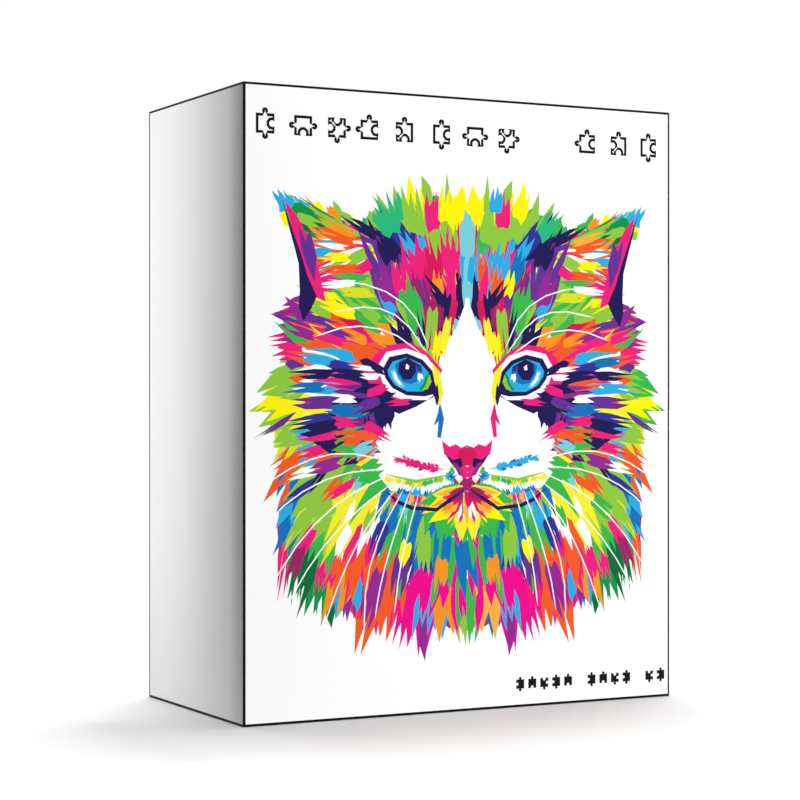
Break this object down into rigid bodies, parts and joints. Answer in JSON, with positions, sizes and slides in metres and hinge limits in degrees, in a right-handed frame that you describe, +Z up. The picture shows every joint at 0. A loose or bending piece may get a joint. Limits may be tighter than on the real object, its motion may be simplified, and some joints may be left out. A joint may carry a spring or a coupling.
{
  "type": "boxed jigsaw puzzle",
  "caption": "Upright telescoping chipboard box wrapped in white printed paper, holding a clear bag of loose die-cut puzzle pieces and a reference print of the picture.",
  "frame": {"origin": "middle of the foot of the closed box, on the surface it stands on", "axes": "+Z up, the height of the standing box; -Y out of the printed panel; X along the box's width"},
  "size_m": [0.202, 0.103, 0.254],
  "materials": {
    "printed_wrap": "satin",
    "plain_wrap": "satin",
    "greyboard": "matte",
    "paper_tape": "matte",
    "clear_film": "gloss",
    "print_card": "satin",
    "puzzle_board": "satin"
  },
  "bodies": {
    "lid": {"lid_board": "greyboard", "lid_wrap": "printed_wrap", "lid_corner_stay_1": "paper_tape", "lid_corner_stay_2": "paper_tape", "lid_corner_stay_3": "paper_tape", "lid_corner_stay_4": "paper_tape"},
    "base": {"base_board": "greyboard", "base_wrap": "plain_wrap", "base_corner_stay_1": "paper_tape", "base_corner_stay_2": "paper_tape", "base_corner_stay_3": "paper_tape", "base_corner_stay_4": "paper_tape"},
    "bag": {"bag_back_film": "clear_film", "bag_front_film": "clear_film", "pieces_row_01": "puzzle_board", "pieces_row_02": "puzzle_board", "pieces_row_03": "puzzle_board", "pieces_row_04": "puzzle_board", "pieces_row_05": "puzzle_board", "pieces_row_06": "puzzle_board", "pieces_row_07": "puzzle_board", "pieces_row_08": "puzzle_board", "pieces_row_09": "puzzle_board", "pieces_row_10": "puzzle_board", "pieces_row_11": "puzzle_board", "pieces_row_12": "puzzle_board", "pieces_row_13": "puzzle_board"},
    "card": {"picture_card": "print_card"}
  },
  "joints": [
    {"name": "base_slide", "type": "slide", "parent": "lid", "child": "base", "axis": [0, 1, 0], "range_m": [0, 0.22]},
    {"name": "bag_slide", "type": "slide", "parent": "base", "child": "bag", "axis": [0, -1, 0], "range_m": [0, 0.11]},
    {"name": "card_slide", "type": "slide", "parent": "base", "child": "card", "axis": [0, -1, 0], "range_m": [0, 0.1298]}
  ],
  "couplings": [
    {"joint": "bag_slide", "follows": "base_slide", "ratio": 0.5},
    {"joint": "card_slide", "follows": "base_slide", "ratio": 0.59}
  ]
}
